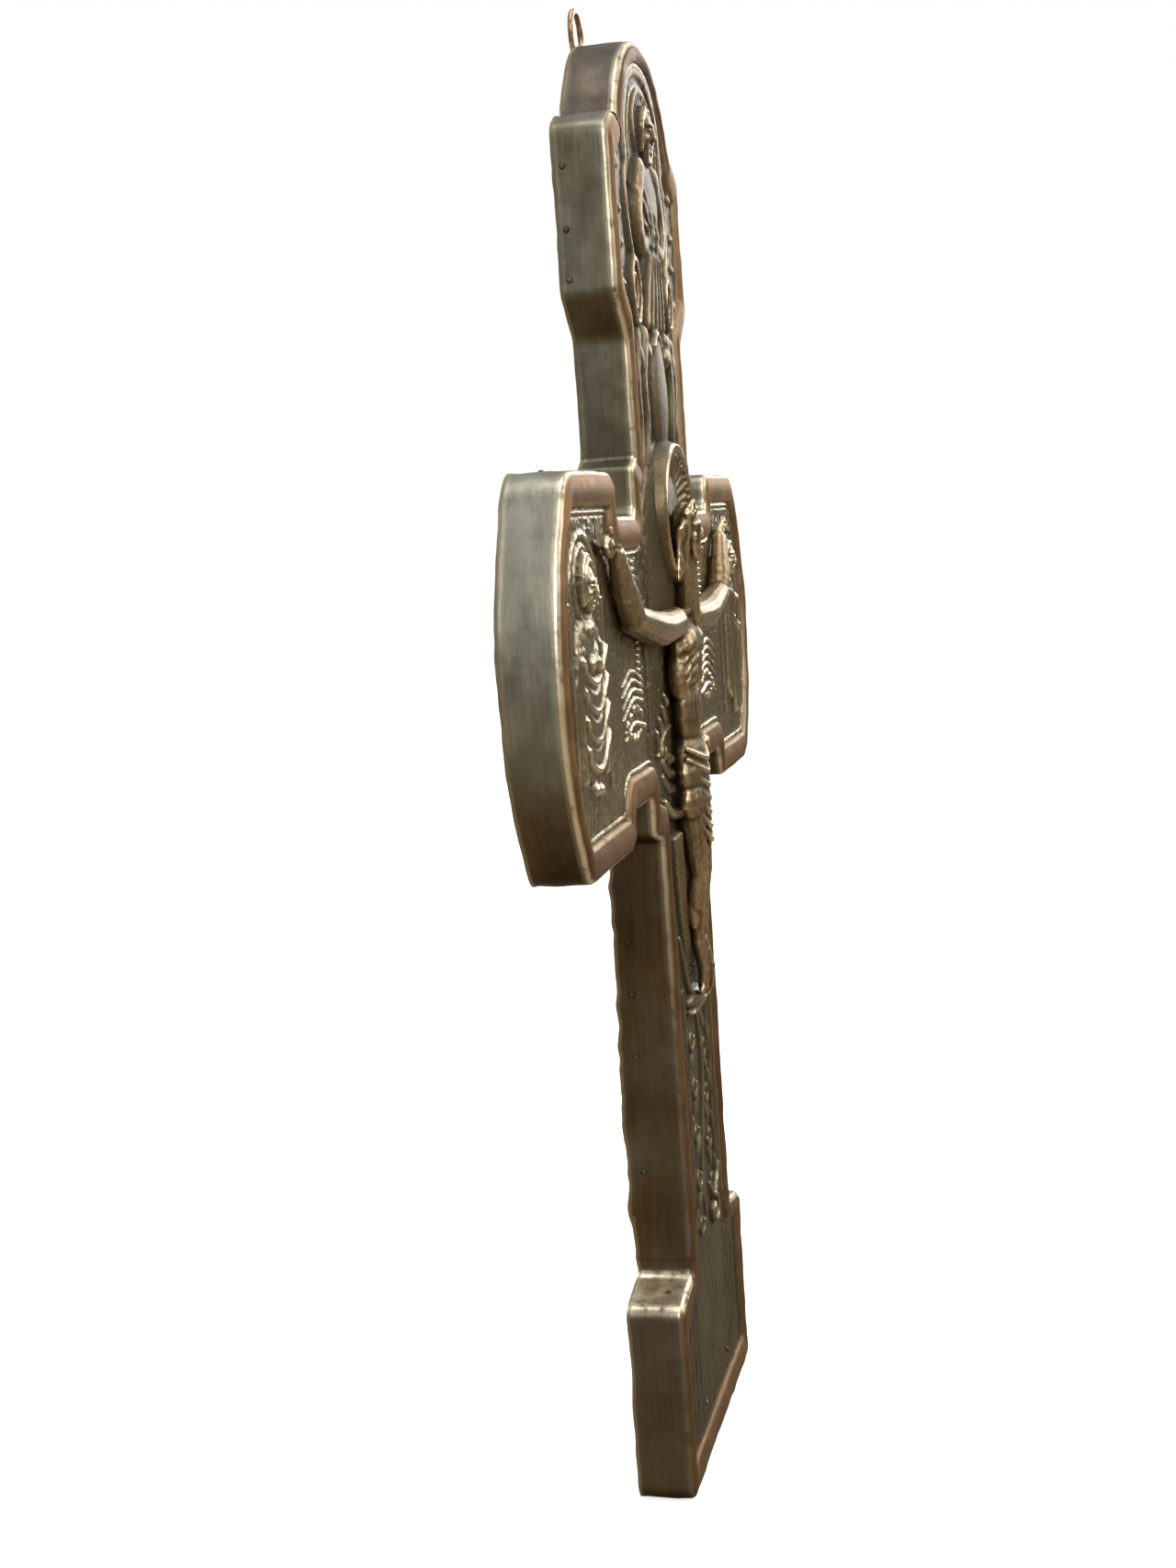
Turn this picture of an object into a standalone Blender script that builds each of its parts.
"""Wall or altar cross: wooden core, embossed metal covering, applied figure and a hanging ring.

Metres, +Z up, the front faces -Y, origin at the middle of the foot's lower edge.
"""
import math

import bmesh
import bpy
from mathutils import Matrix, Vector

GAP = 0.0003                # clearance between neighbouring pieces

# ---- outline of the cross (half widths in x, heights in z)
HEIGHT = 0.640
FOOT_HALF = 0.080
FOOT_TOP = 0.090
FOOT_NECK = 0.095
SHAFT_LOW_HALF = 0.051
CROSSING_HALF = 0.068
CROSSING_LOW = 0.2975
CROSSING_TOP = 0.455
SHAFT_TOP_HALF = 0.060
ARM_AXIS = 0.376
ARM_HALF = 0.059            # from the arms' axis up to their upper edge
ARM_LOW_HALF = 0.062        # from the arms' axis down to their lower edge
ARM_FLARE = 0.0002          # the arms widen by this much towards the crossing
ARM_END_INNER = 0.108
ARM_END_OUTER = 0.1890      # where the upper edge of the arm's end turns into its rounded corner
ARM_LOW_OUTER = 0.1920      # the same on the lower edge
ARM_ARC_END = 0.2000        # where the arm's rounded end begins
ARM_ARC_HALF = 0.060        # half chord of the arm's rounded end
ARM_ARC_DROP = 0.0020       # its middle lies this far below the arms' axis
ARM_ARC_HOLD = 0.86         # share of the inset by which that end moves inwards at its chord
ARM_END_HALF = 0.077
ARM_TIP = 0.216
BLOCK_HALF = 0.077
BLOCK_NECK = 0.509
BLOCK_LOW = 0.5255
BLOCK_TOP = 0.6005
BLOCK_SLOPE_X = 0.066       # the block's shoulder slopes down from here to its side
BLOCK_SLOPE_Z = 0.594
LOBE_HALF = 0.057           # half chord of the rounded top
ROUND_OUT = 0.008           # radius of the outward corners
ROUND_SLOPE = 0.012         # radius at the upper end of the shoulder's slope
ROUND_ARM = 0.017           # radius of the arm ends' upper corners
ROUND_ARM_LOW = 0.013       # radius of the arm ends' lower corners
ROUND_IN = 0.006            # radius of the inward corners

# ---- layers through the thickness
CORE_THICK = 0.0200
STRIP_BACK = 0.0213
STRIP_THICK = 0.0006
STRIP_GAP = STRIP_THICK + GAP
PANEL_FACE = -0.0012
BORDER_FACE = -0.0050
BORDER_HIGH = 0.0145        # border band along level edges
BORDER_ACROSS = 0.0100      # border band along upright edges and rounded ends
BORDER_ROUND = 0.0035
FIGURE_BACK = PANEL_FACE - GAP

# ---- seams between sheets
SEAM_LOBE_X = 0.055
SEAM_UPPER = 0.460
SEAM_LOWER = 0.2925
SEAM_FOOT = 0.100
PLATE_UPPER = CROSSING_TOP
PLATE_LOWER = CROSSING_LOW
PLATE_ARM_X = CROSSING_HALF

# ---- pins and nails
NAIL_SHANK = 0.0007
NAIL_HOLE = 0.0010
NAIL_HEAD = 0.0014
NAIL_HEAD_HIGH = 0.0008
NAIL_LONG = 0.009
NAIL_ROW_Y = 0.0165
UPPER_NAILS = (0.578, 0.5525, 0.5325)
LOWER_NAILS = (0.248, 0.224, 0.196, 0.143)
ARM_NAIL_X = 0.148
FOOT_NAIL_X = 0.030
FOOT_NAIL_Z = 0.025
LAP_PIN_R = 0.004
LAP_PIN_OFFSET = 0.032

# ---- applied figure
HAND_X = 0.134
HAND_Z = 0.423
ELBOW_X = 0.106
ELBOW_Z = 0.3930
SHOULDER_X = 0.021
SHOULDER_Z = 0.386
HEAD_Z = 0.427
HEAD_X = -0.005
HIP_Z = 0.318
KNEE_Z = 0.270
FEET_Z = 0.226
HALO_Z = 0.434
HALO_R = 0.034
HALO_FRONT_R = 0.0305
HALO_FACE = -0.0100

# ---- hanging ring
PIVOT_Y = 0.0242
PIVOT_Z = 0.6362
RING_R = 0.0099
RING_WIRE = 0.0014
EYE_OUT = 0.0036
EYE_IN = 0.0023
EYE_WIDE = 0.006
STRAP_WIDE = 0.010
STRAP_LOW = 0.605
STRAP_THICK = 0.0010
STRAP_NAILS = (0.624, 0.611)

for old in list(bpy.data.objects):
    bpy.data.objects.remove(old, do_unlink=True)

PARTS = bpy.data.collections.new("altar_cross")
CUTTERS = bpy.data.collections.new("cutters")
bpy.context.scene.collection.children.link(PARTS)
bpy.context.scene.collection.children.link(CUTTERS)


def material(name, colour, roughness, metallic):
    made = bpy.data.materials.new(name)
    made.use_nodes = True
    bsdf = made.node_tree.nodes["Principled BSDF"]
    bsdf.inputs["Base Color"].default_value = (*colour, 1.0)
    bsdf.inputs["Roughness"].default_value = roughness
    bsdf.inputs["Metallic"].default_value = metallic
    return made


WOOD = ("wood", (0.42, 0.27, 0.14), 0.75, 0.0)
SHEET = ("embossed_sheet", (0.36, 0.31, 0.25), 0.42, 1.0)
FIGURE = ("figure_metal", (0.40, 0.31, 0.24), 0.40, 1.0)
STEEL = ("nail_steel", (0.42, 0.40, 0.37), 0.45, 1.0)
BRASS = ("hanger_brass", (0.62, 0.47, 0.25), 0.38, 1.0)


# ---------------------------------------------------------------- small modelling helpers
def into(collection, thing):
    for home in list(thing.users_collection):
        home.objects.unlink(thing)
    collection.objects.link(thing)
    return thing


def part_from_mesh(name, mesh, look):
    thing = bpy.data.objects.new(name, mesh)
    PARTS.objects.link(thing)
    mesh.materials.clear()
    mesh.materials.append(material(name + "_" + look[0], *look[1:]))
    return thing


def evaluated(thing):
    """A clean mesh of an object after its modifiers, in world space."""
    graph = bpy.context.evaluated_depsgraph_get()
    mesh = bpy.data.meshes.new_from_object(thing.evaluated_get(graph))
    mesh.transform(thing.matrix_world)
    work = bmesh.new()
    work.from_mesh(mesh)
    bmesh.ops.remove_doubles(work, verts=work.verts, dist=0.000001)
    bmesh.ops.recalc_face_normals(work, faces=work.faces)
    work.to_mesh(mesh)
    work.free()
    return mesh


def mirrored(name, thing, look):
    """The same piece for the other side of the cross."""
    mesh = thing.data.copy()
    mesh.transform(Matrix.Diagonal((-1.0, 1.0, 1.0, 1.0)))
    mesh.flip_normals()
    other = part_from_mesh(name, mesh, look)
    smooth(other)
    return other


def cutter_from_mesh(name, mesh):
    thing = bpy.data.objects.new(name, mesh)
    CUTTERS.objects.link(thing)
    thing.hide_render = True
    thing.display_type = "WIRE"
    return thing


def box(name, low, high):
    middle = [(a + b) / 2 for a, b in zip(low, high)]
    size = [b - a for a, b in zip(low, high)]
    work = bmesh.new()
    bmesh.ops.create_cube(work, size=1.0, matrix=Matrix.Translation(middle) @ Matrix.Diagonal((*size, 1.0)))
    mesh = bpy.data.meshes.new(name)
    work.to_mesh(mesh)
    work.free()
    return cutter_from_mesh(name, mesh)


def prism(name, points, front, back, rounding=0.0, steps=2):
    """A closed outline in x and z, filled and extruded from y = front to y = back."""
    curve = bpy.data.curves.new(name, "CURVE")
    curve.dimensions = "2D"
    curve.fill_mode = "BOTH"
    spline = curve.splines.new("POLY")
    spline.points.add(len(points) - 1)
    for slot, (x, z) in zip(spline.points, points):
        slot.co = (x, z, 0.0, 1.0)
    spline.use_cyclic_u = True
    curve.extrude = (back - front) / 2 - rounding
    curve.bevel_depth = rounding
    curve.bevel_resolution = steps
    curve.offset = -rounding
    thing = bpy.data.objects.new(name, curve)
    bpy.context.scene.collection.objects.link(thing)
    thing.rotation_euler = (math.radians(90), 0.0, 0.0)
    thing.location = (0.0, (front + back) / 2, 0.0)
    bpy.context.view_layer.update()
    mesh = evaluated(thing)
    bpy.data.objects.remove(thing, do_unlink=True)
    work = bmesh.new()
    work.from_mesh(mesh)
    bmesh.ops.dissolve_limit(work, angle_limit=0.0005, verts=work.verts, edges=work.edges)
    work.to_mesh(mesh)
    work.free()
    return mesh


def combine(thing, cutter, how):
    modifier = thing.modifiers.new(how.lower(), "BOOLEAN")
    modifier.operation = how
    modifier.solver = "EXACT"
    modifier.object = cutter


def settle(thing):
    """Replace the object's mesh by the result of its modifiers."""
    bpy.context.view_layer.update()
    looks = list(thing.data.materials)
    mesh = evaluated(thing)
    thing.modifiers.clear()
    thing.data = mesh
    mesh.materials.clear()
    for look in looks:
        mesh.materials.append(look)
    return thing


def cut(thing, *cutters):
    for cutter in cutters:
        combine(thing, cutter, "DIFFERENCE")
    return settle(thing)


def keep(thing, cutter):
    combine(thing, cutter, "INTERSECT")
    return settle(thing)


def add(thing, *extras):
    for extra in extras:
        combine(thing, extra, "UNION")
        settle(thing)
    return thing


def ball(name, centre, radii, segments=12, rings=8, tilt=0.0):
    """An ellipsoid, turned by tilt about y."""
    work = bmesh.new()
    spin = Matrix.Rotation(math.radians(tilt), 4, "Y")
    shape = Matrix.Translation(centre) @ spin @ Matrix.Diagonal((*radii, 1.0))
    bmesh.ops.create_uvsphere(work, u_segments=segments, v_segments=rings, radius=1.0, matrix=shape)
    mesh = bpy.data.meshes.new(name)
    work.to_mesh(mesh)
    work.free()
    return cutter_from_mesh(name, mesh)


def rod(name, start, end, r_start, r_end, segments=12):
    """A tapered round bar between two points."""
    start = Vector(start)
    end = Vector(end)
    along = end - start
    turn = along.to_track_quat("Z", "Y").to_matrix().to_4x4()
    work = bmesh.new()
    bmesh.ops.create_cone(work, cap_ends=True, segments=segments, radius1=r_start, radius2=r_end,
                          depth=along.length, matrix=Matrix.Translation((start + end) / 2) @ turn)
    mesh = bpy.data.meshes.new(name)
    work.to_mesh(mesh)
    work.free()
    return cutter_from_mesh(name, mesh)


def smooth(thing, angle=35.0):
    thing.data.shade_smooth()
    thing.data.set_sharp_from_angle(angle=math.radians(angle))


# ---------------------------------------------------------------- the outline
def rounded(corners):
    """Corners (x, z, radius) in order, each replaced by an arc; radius 0 keeps the point."""
    out = []
    count = len(corners)
    for i, (x, z, radius) in enumerate(corners):
        here = Vector((x, z))
        if radius <= 0:
            out.append((x, z))
            continue
        before = (Vector(corners[i - 1][:2]) - here).normalized()
        after = (Vector(corners[(i + 1) % count][:2]) - here).normalized()
        half = before.angle(after) / 2
        reach = radius / math.tan(half)
        centre = here + (before + after).normalized() * (radius / math.sin(half))
        first = here + before * reach - centre
        last = here + after * reach - centre
        sweep = first.angle_signed(last)
        pieces = max(2, round(abs(math.degrees(sweep)) / 22))
        for k in range(pieces + 1):
            turned = first.copy()
            turned.rotate(Matrix.Rotation(-sweep * k / pieces, 2))
            out.append(tuple(centre + turned))
    return out


def lobe(reach, chord_half, sagitta, inset, pieces, hold=1.0):
    """Points of a rounded end from one side of its chord to the other, as (along, across)."""
    radius = (chord_half ** 2 + sagitta ** 2) / (2 * sagitta)
    centre = reach - radius
    base = reach - sagitta - inset * hold
    small = radius - inset
    limit = math.acos(max(-1.0, min(1.0, (base - centre) / small)))
    return [(centre + small * math.cos(limit * t), small * math.sin(limit * t))
            for t in (1 - 2 * k / pieces for k in range(pieces + 1))]


def outline(inset=0.0, across=None):
    """The whole outline, moved inwards by inset along z and by across (or inset) along x, anticlockwise seen from behind."""
    across = inset if across is None else across
    out_r = max(ROUND_OUT - inset, 0.0015)
    slope_r = max(ROUND_SLOPE - inset, 0.002)
    arm_r = max(ROUND_ARM - inset, 0.004)
    arm_low_r = max(ROUND_ARM_LOW - inset, 0.003)
    in_r = ROUND_IN + inset * 0.5
    tiny = 0.002
    top = [(x, z, 0.0) for z, x in lobe(HEIGHT, LOBE_HALF, HEIGHT - BLOCK_TOP, across, 18)]
    tip = [(x, ARM_AXIS - ARM_ARC_DROP + z, 0.0)
           for x, z in lobe(ARM_TIP, ARM_ARC_HALF, ARM_TIP - ARM_ARC_END, across, 14, ARM_ARC_HOLD)]
    arm_top = ARM_AXIS + ARM_HALF - inset
    arm_low = ARM_AXIS - ARM_LOW_HALF + inset
    end_top = ARM_AXIS + ARM_END_HALF - inset
    end_low = ARM_AXIS - ARM_END_HALF + inset
    right = [
        (BLOCK_SLOPE_X - across, BLOCK_TOP - inset, slope_r),
        (BLOCK_HALF - across, BLOCK_SLOPE_Z - inset, out_r),
        (BLOCK_HALF - across, BLOCK_LOW + inset * 0.7, out_r * 0.8),
        (SHAFT_TOP_HALF - across, BLOCK_NECK + inset * 0.7, in_r),
        (SHAFT_TOP_HALF - across, CROSSING_TOP + 0.004 - inset, tiny),
        (CROSSING_HALF - across, CROSSING_TOP - inset, 0.003),
        (CROSSING_HALF - across, arm_top + ARM_FLARE, in_r * 0.7),
        (ARM_END_INNER + across, arm_top, in_r),
        (ARM_END_INNER + across, end_top, out_r),
        (ARM_END_OUTER - across * 0.6, end_top, arm_r),
    ] + tip + [
        (ARM_LOW_OUTER - across * 0.6, end_low, arm_low_r),
        (ARM_END_INNER + across, end_low, out_r),
        (ARM_END_INNER + across, arm_low, in_r),
        (CROSSING_HALF - across, arm_low - ARM_FLARE, in_r * 0.7),
        (CROSSING_HALF - across, CROSSING_LOW + inset, 0.004),
        (SHAFT_LOW_HALF - across, CROSSING_LOW - 0.005 + inset, 0.003),
        (SHAFT_LOW_HALF - across, FOOT_NECK - inset * 0.6, in_r),
        (FOOT_HALF - across, FOOT_TOP - inset * 0.6, out_r * 0.8),
        (FOOT_HALF - across, inset, out_r),
    ]
    left = [(-x, z, r) for x, z, r in reversed(right)]
    top.sort(key=lambda point: point[0])
    return rounded(top + right + left)


# ---------------------------------------------------------------- nails
NAILS = []                  # (name, point on the outer face, unit vector into the core, look)


def plan_nails():
    for side, word in ((-1, "left"), (1, "right")):
        inward = Vector((-side, 0, 0))
        for number, z in enumerate(UPPER_NAILS, 1):
            NAILS.append((f"side_nail_{word}_upper_{number}", Vector((side * BLOCK_HALF, NAIL_ROW_Y, z)), inward))
        for number, z in enumerate(LOWER_NAILS, 1):
            NAILS.append((f"side_nail_{word}_lower_{number}", Vector((side * SHAFT_LOW_HALF, NAIL_ROW_Y, z)), inward))
        NAILS.append((f"arm_nail_{word}_top", Vector((side * ARM_NAIL_X, NAIL_ROW_Y, ARM_AXIS + ARM_END_HALF)),
                      Vector((0, 0, -1))))
        NAILS.append((f"arm_nail_{word}_under", Vector((side * ARM_NAIL_X, NAIL_ROW_Y, ARM_AXIS - ARM_END_HALF)),
                      Vector((0, 0, 1))))
        NAILS.append((f"foot_nail_{word}", Vector((side * FOOT_NAIL_X, PANEL_FACE, FOOT_NAIL_Z)), Vector((0, 1, 0))))
    for number, z in enumerate(STRAP_NAILS, 1):
        face = CORE_THICK + GAP + STRAP_THICK
        NAILS.append((f"hanger_nail_{number}", Vector((0, face, z)), Vector((0, -1, 0))))


def nail(name, face, inward):
    """A domed head just clear of the face it holds down, on a plain shank."""
    seat = face - inward * GAP
    head = rod(name + "_disc", seat - inward * NAIL_HEAD_HIGH, seat, NAIL_HEAD * 0.62, NAIL_HEAD, 10)
    shank = rod(name + "_stem", seat - inward * 0.0002, seat + inward * NAIL_LONG, NAIL_SHANK, NAIL_SHANK, 8)
    made = part_from_mesh(name, head.data.copy(), STEEL if "hanger" not in name else BRASS)
    add(made, shank)
    smooth(made)


def nail_holes(names):
    """Cutters for the holes of the nails whose name starts with one of the given words."""
    cutters = []
    for name, face, inward in NAILS:
        if name.startswith(names):
            start = face - inward * 0.002
            cutters.append(rod(name + "_hole", start, face + inward * (NAIL_LONG + 0.001), NAIL_HOLE, NAIL_HOLE, 8))
    return cutters


plan_nails()

# ---------------------------------------------------------------- wooden core
FAR = 0.4
core_mesh = prism("core", outline(STRIP_GAP), 0.0, CORE_THICK)
lap_low = ARM_AXIS - ARM_LOW_HALF + STRIP_GAP
lap_top = ARM_AXIS + ARM_HALF - STRIP_GAP
half = CORE_THICK / 2
shoulder = CROSSING_HALF - STRIP_GAP
easing = GAP / 2

pins = []
for word, z in (("upper", ARM_AXIS + LAP_PIN_OFFSET), ("lower", ARM_AXIS - LAP_PIN_OFFSET)):
    pins.append(rod("pin_hole_" + word, (0, -0.01, z), (0, 0.03, z), LAP_PIN_R + GAP, LAP_PIN_R + GAP, 20))
    stem = rod("pin_" + word, (0, GAP, z), (0, CORE_THICK - 0.0006, z), LAP_PIN_R, LAP_PIN_R, 20)
    smooth(part_from_mesh("lap_pin_" + word, stem.data.copy(), WOOD))

upright = part_from_mesh("core_upright", core_mesh.copy(), WOOD)
cut(upright,
    box("off_right", (shoulder - easing, -0.01, CROSSING_LOW - 0.001), (FAR, 0.03, CROSSING_TOP + 0.003)),
    box("off_left", (-FAR, -0.01, CROSSING_LOW - 0.001), (-shoulder + easing, 0.03, CROSSING_TOP + 0.003)),
    box("lap_front", (-FAR, -0.01, lap_low - easing), (FAR, half + easing, lap_top + easing)),
    *pins,
    *nail_holes(("side_nail", "foot_nail", "hanger_nail")))

crossbar = part_from_mesh("core_crossbar", core_mesh.copy(), WOOD)
cut(crossbar,
    box("off_top", (-shoulder - easing, -0.01, lap_top - easing), (shoulder + easing, 0.03, 0.70)),
    box("off_low", (-shoulder - easing, -0.01, -0.01), (shoulder + easing, 0.03, lap_low + easing)),
    box("off_foot", (-FAR, -0.01, -0.01), (FAR, 0.03, 0.150)),
    box("off_block", (-FAR, -0.01, 0.480), (FAR, 0.03, 0.70)),
    box("lap_back", (-shoulder - easing, half - easing, 0.2), (shoulder + easing, 0.03, 0.5)),
    *pins,
    *nail_holes(("arm_nail",)))

# ---------------------------------------------------------------- side strips
ring_outer = prism("strip_outer", outline(0.0), 0.0, STRIP_BACK)
ring_inner = cutter_from_mesh("strip_inner", prism("strip_inner", outline(STRIP_THICK), -0.01, 0.03))
band = part_from_mesh("strip_band", ring_outer, SHEET)
cut(band, ring_inner)

STRIPS = {
    "strip_lobe": ((-SEAM_LOBE_X, BLOCK_TOP), (SEAM_LOBE_X, 0.70)),
    "strip_upper_left": ((-FAR, SEAM_UPPER + easing), (0.0, 0.70)),
    "strip_upper_right": ((0.0, SEAM_UPPER + easing), (FAR, 0.70)),
    "strip_arm_left": ((-FAR, SEAM_LOWER + easing), (0.0, SEAM_UPPER - easing)),
    "strip_arm_right": ((0.0, SEAM_LOWER + easing), (FAR, SEAM_UPPER - easing)),
    "strip_shaft_left": ((-FAR, SEAM_FOOT + easing), (0.0, SEAM_LOWER - easing)),
    "strip_shaft_right": ((0.0, SEAM_FOOT + easing), (FAR, SEAM_LOWER - easing)),
    "strip_foot": ((-FAR, -0.02), (FAR, SEAM_FOOT - easing)),
}
lobe_room = box("lobe_room", (-SEAM_LOBE_X - GAP, -0.05, BLOCK_TOP), (SEAM_LOBE_X + GAP, 0.05, 0.70))
holes_side = nail_holes(("side_nail", "arm_nail"))
for name, ((x0, z0), (x1, z1)) in STRIPS.items():
    strip = part_from_mesh(name, band.data.copy(), SHEET)
    keep(strip, box(name + "_room", (x0, -0.05, z0), (x1, 0.05, z1)))
    if "upper" in name:
        cut(strip, lobe_room)
    near = [h for h in holes_side
            if x0 < h.data.vertices[0].co.x < x1 and z0 < h.data.vertices[0].co.z < z1]
    if near:
        cut(strip, *near)
    smooth(strip)
bpy.data.objects.remove(band, do_unlink=True)

# ---------------------------------------------------------------- embossed front plates
front = part_from_mesh("front", prism("front", outline(0.0), BORDER_FACE, 0.010, BORDER_ROUND), SHEET)
cut(front,
    box("behind", (-FAR, -GAP, -0.05), (FAR, 0.05, 0.70)),
    cutter_from_mesh("panel", prism("panel", outline(BORDER_HIGH, BORDER_ACROSS), -0.05, PANEL_FACE)))


def half_figure(word, x, z, size, lean):
    """A raised half figure: disc behind the head, head, shoulders and falling drapery."""
    y = PANEL_FACE + 0.0004
    return [
        ball(word + "_nimbus", (x, y, z + 0.62 * size), (0.36 * size, 0.0022, 0.36 * size), 16, 6),
        ball(word + "_head", (x, y - 0.002, z + 0.60 * size), (0.17 * size, 0.0052, 0.24 * size)),
        ball(word + "_chest", (x, y - 0.001, z + 0.12 * size), (0.40 * size, 0.0062, 0.42 * size), tilt=lean),
        ball(word + "_drape", (x, y, z - 0.48 * size), (0.34 * size, 0.0055, 0.60 * size), tilt=-lean),
    ]


relief = {
    "plate_top": half_figure("top", 0.0, 0.545, 0.062, 6),
    "plate_arm_left": half_figure("left", -0.146, 0.376, 0.050, 8),
    "plate_crossing": [
        rod("hem_left", (-0.0475, -0.0031, 0.3124), (-0.0225, -0.0036, 0.3044), 0.0030, 0.0036, 10),
        rod("hem_right", (0.0475, -0.0031, 0.3124), (0.0225, -0.0036, 0.3044), 0.0030, 0.0036, 10),
    ],
    "plate_shaft": [
        rod("fold_left", (-0.019, -0.0015, 0.115), (-0.016, -0.0015, 0.205), 0.0030, 0.0022, 8),
        rod("fold_middle", (0.001, -0.0015, 0.105), (0.000, -0.0015, 0.200), 0.0034, 0.0024, 8),
        rod("fold_right", (0.018, -0.0015, 0.112), (0.016, -0.0015, 0.208), 0.0030, 0.0022, 8),
    ],
}
PLATES = {
    "plate_top": ((-FAR, PLATE_UPPER + easing), (FAR, 0.70)),
    "plate_crossing": ((-PLATE_ARM_X + easing, PLATE_LOWER + easing), (PLATE_ARM_X - easing, PLATE_UPPER - easing)),
    "plate_arm_left": ((-FAR, 0.2), (-PLATE_ARM_X - easing, 0.5)),
    "plate_shaft": ((-FAR, -0.02), (FAR, PLATE_LOWER - easing)),
}
back_off = box("back_off", (-FAR, -GAP, -0.05), (FAR, 0.05, 0.70))
for name, ((x0, z0), (x1, z1)) in PLATES.items():
    plate = part_from_mesh(name, front.data.copy(), SHEET)
    room = box(name + "_room", (x0, -0.05, z0), (x1, 0.05, z1))
    keep(plate, room)
    add(plate, *relief[name])
    cut(plate, back_off)
    if name == "plate_shaft":
        cut(plate, *nail_holes(("foot_nail",)))
    if name == "plate_arm_left":
        mirrored("plate_arm_right", plate, SHEET)
    smooth(plate)
bpy.data.objects.remove(front, do_unlink=True)

# ---------------------------------------------------------------- halo and figure
halo_curve = rod("halo_disc", (0, FIGURE_BACK, HALO_Z), (0, HALO_FACE, HALO_Z), HALO_R, HALO_FRONT_R, 40)
halo = part_from_mesh("halo", halo_curve.data.copy(), FIGURE)
cut(halo, ball("halo_dish", (0, HALO_FACE - 0.0055, HALO_Z), (0.0290, 0.0125, 0.0290), 40, 24))
smooth(halo)

NECK_BACK = HALO_FACE - GAP
head_y = -0.0125
pieces = [
    rod("neck", (0, -0.0100, SHOULDER_Z), (HEAD_X, -0.0115, HEAD_Z - 0.008), 0.0058, 0.0048),
    ball("skull", (HEAD_X, head_y, HEAD_Z), (0.0085, 0.0070, 0.0125), 16, 10, tilt=-10),
    ball("hips", (0, -0.0065, HIP_Z), (0.0165, 0.0080, 0.0165)),
    ball("cloth", (0, -0.0060, HIP_Z - 0.008), (0.0185, 0.0080, 0.0190)),
    ball("cloth_knot", (0.017, -0.0055, HIP_Z + 0.001), (0.0062, 0.0050, 0.0110), 10, 6, tilt=15),
    rod("waist", (0, -0.0062, HIP_Z), (0, -0.0068, SHOULDER_Z - 0.020), 0.0115, 0.0135),
]
for side, word in ((-1, "left"), (1, "right")):
    elbow = (side * ELBOW_X, -0.0070, ELBOW_Z)
    hand = (side * HAND_X, -0.0050, HAND_Z)
    pieces += [
        ball("shoulder_" + word, (side * SHOULDER_X, -0.0068, SHOULDER_Z), (0.0082, 0.0068, 0.0078)),
        rod("upper_arm_" + word, (side * SHOULDER_X, -0.0066, SHOULDER_Z), elbow, 0.0070, 0.0058),
        ball("elbow_" + word, elbow, (0.0060, 0.0060, 0.0060), 10, 8),
        rod("forearm_" + word, elbow, hand, 0.0058, 0.0038),
        ball("palm_" + word, hand, (0.0085, 0.0033, 0.0056), 12, 8, tilt=side * -22),
        rod("thigh_" + word, (side * 0.0085, -0.0065, HIP_Z - 0.006), (side * 0.0068, -0.0085, KNEE_Z), 0.0088, 0.0062),
        ball("knee_" + word, (side * 0.0068, -0.0085, KNEE_Z), (0.0063, 0.0064, 0.0068), 10, 8),
        rod("shin_" + word, (side * 0.0068, -0.0085, KNEE_Z), (side * 0.0026, -0.0062, FEET_Z + 0.006), 0.0060, 0.0042),
    ]
pieces += [
    ball("feet", (0, -0.0065, FEET_Z), (0.0068, 0.0048, 0.0125)),
]
corpus = part_from_mesh("corpus", ball("chest", (0, -0.0072, SHOULDER_Z - 0.016), (0.0205, 0.0085, 0.0225), 16, 12).data.copy(),
                        FIGURE)
add(corpus, *pieces)
cut(corpus, box("corpus_back", (-FAR, FIGURE_BACK, 0.1), (FAR, 0.05, 0.5)),
    rod("halo_room", (0, NECK_BACK, HALO_Z), (0, 0.02, HALO_Z), HALO_R + GAP, HALO_R + GAP, 32))
CORPUS_NAILS = (
    ("corpus_nail_left_hand", (-HAND_X, -0.0088, HAND_Z)),
    ("corpus_nail_right_hand", (HAND_X, -0.0088, HAND_Z)),
    ("corpus_nail_feet", (0.0, -0.0113, FEET_Z)),
)
NAIL_BACK = 0.006
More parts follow.
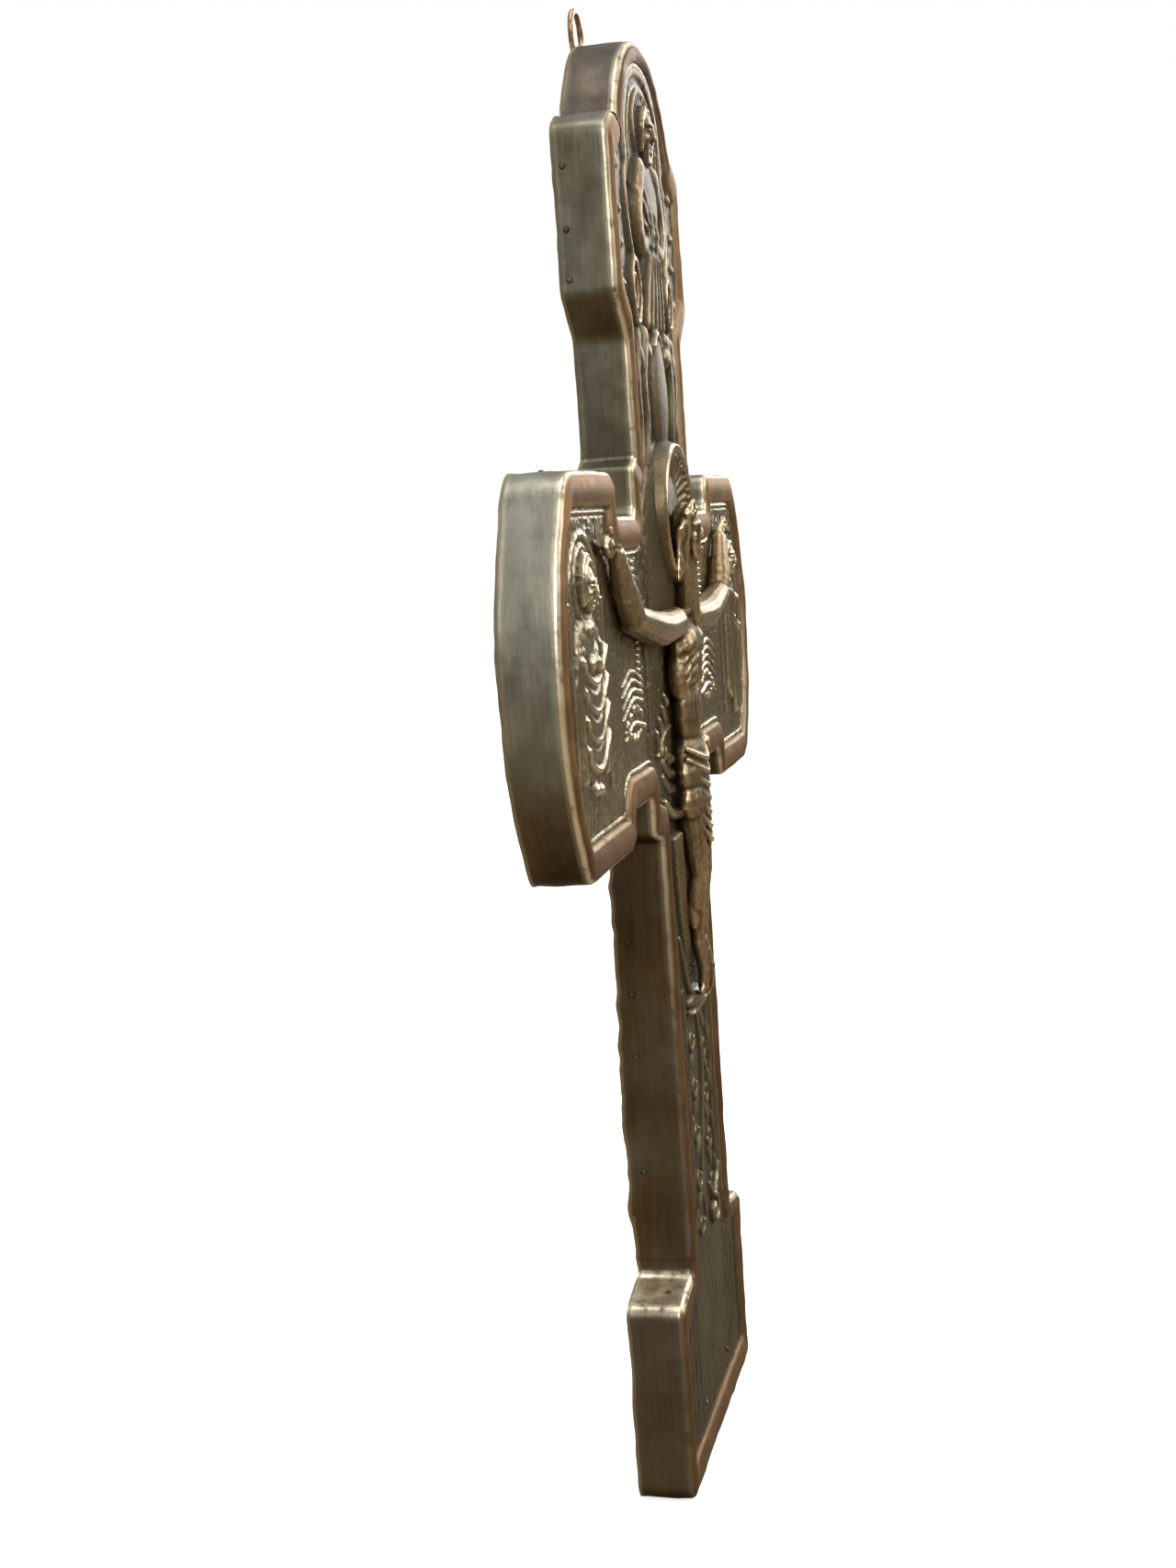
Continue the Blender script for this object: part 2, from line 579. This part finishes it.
for name, point in CORPUS_NAILS:
    x, y, z = point
    drill = rod(name + "_hole", (x, y - 0.01, z), (x, NAIL_BACK + 0.001, z), NAIL_HOLE, NAIL_HOLE, 8)
    cut(corpus, drill)
    cut(bpy.data.objects["plate_shaft" if "feet" in name else "plate_arm_" + name.split("_")[2]], drill)
    cut(bpy.data.objects["core_upright" if "feet" in name else "core_crossbar"], drill)
    head = rod(name + "_disc", (x, y - GAP - 0.0010, z), (x, y - GAP, z), NAIL_HEAD * 0.7, NAIL_HEAD, 10)
    stem = rod(name + "_stem", (x, y - GAP - 0.0002, z), (x, NAIL_BACK, z), NAIL_SHANK, NAIL_SHANK, 8)
    made = part_from_mesh(name, head.data.copy(), STEEL)
    add(made, stem)
    smooth(made)
smooth(corpus, 50)

# ---------------------------------------------------------------- nails in the sides, foot and strap
for name, face, inward in NAILS:
    nail(name, face, inward)

# ---------------------------------------------------------------- hanger strap and ring
strap_front = CORE_THICK + GAP
strap_box = box("strap_leaf", (-STRAP_WIDE / 2, strap_front, STRAP_LOW),
                (STRAP_WIDE / 2, strap_front + STRAP_THICK, PIVOT_Z + 0.0006))
strap = part_from_mesh("hanger_strap", strap_box.data.copy(), BRASS)
add(strap, rod("eye", (-EYE_WIDE / 2, PIVOT_Y, PIVOT_Z), (EYE_WIDE / 2, PIVOT_Y, PIVOT_Z), EYE_OUT, EYE_OUT, 28))
cut(strap,
    rod("eye_hole", (-0.01, PIVOT_Y, PIVOT_Z), (0.01, PIVOT_Y, PIVOT_Z), EYE_IN, EYE_IN, 28),
    *nail_holes(("hanger_nail",)))
smooth(strap)

ring_mesh = bpy.data.meshes.new("hanging_ring")
work = bmesh.new()
section = bmesh.ops.create_circle(work, cap_ends=False, radius=RING_WIRE, segments=8,
                                  matrix=Matrix.Translation((RING_R, 0, 0)) @ Matrix.Rotation(math.radians(90), 4, "X"))
bmesh.ops.spin(work, geom=work.verts[:] + work.edges[:], cent=(0, 0, 0), axis=(0, 0, 1),
               angle=math.radians(360), steps=28, use_merge=True)
bmesh.ops.remove_doubles(work, verts=work.verts, dist=0.00002)
bmesh.ops.recalc_face_normals(work, faces=work.faces)
bmesh.ops.rotate(work, verts=work.verts, cent=(0, 0, 0), matrix=Matrix.Rotation(math.radians(90), 3, "X"))
bmesh.ops.translate(work, verts=work.verts, vec=(0, 0, RING_R))
work.to_mesh(ring_mesh)
work.free()
ring = part_from_mesh("hanging_ring", ring_mesh, BRASS)
ring.location = (0.0, PIVOT_Y, PIVOT_Z)
smooth(ring, 60)
